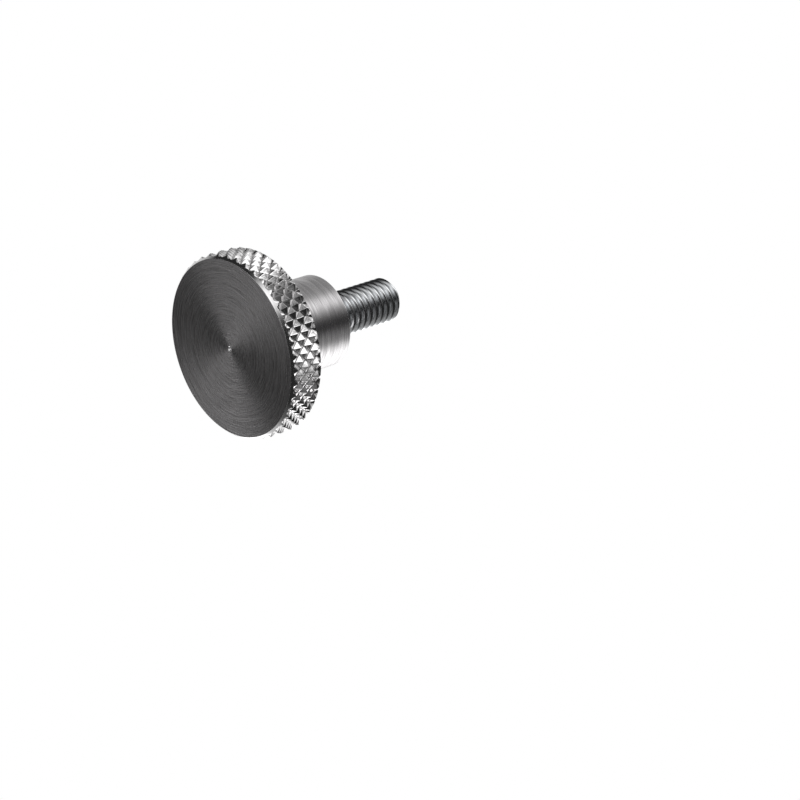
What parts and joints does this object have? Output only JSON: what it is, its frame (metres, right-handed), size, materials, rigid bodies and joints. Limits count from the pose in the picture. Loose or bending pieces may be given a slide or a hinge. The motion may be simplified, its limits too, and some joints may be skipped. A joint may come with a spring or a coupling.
{
  "type": "knurled thumb screw",
  "caption": "High-head knurled thumb screw: a diamond-knurled disc, a smooth cylindrical hub and a threaded stud with a chamfered tip, in plain turned steel.",
  "frame": {"origin": "centre of the head's flat outer face, which the screw stands on", "axes": "+Z along the screw's axis, from the face of the head to the tip of the stud; +X through a point of the knurl"},
  "size_m": [0.024, 0.024, 0.027],
  "materials": {
    "turned_steel": "bare steel with fine concentric turning marks on the face, scratches round the hub, and bright sharp knurl points"
  },
  "bodies": {
    "root": {"thumb_screw": "turned_steel"}
  },
  "joints": []
}
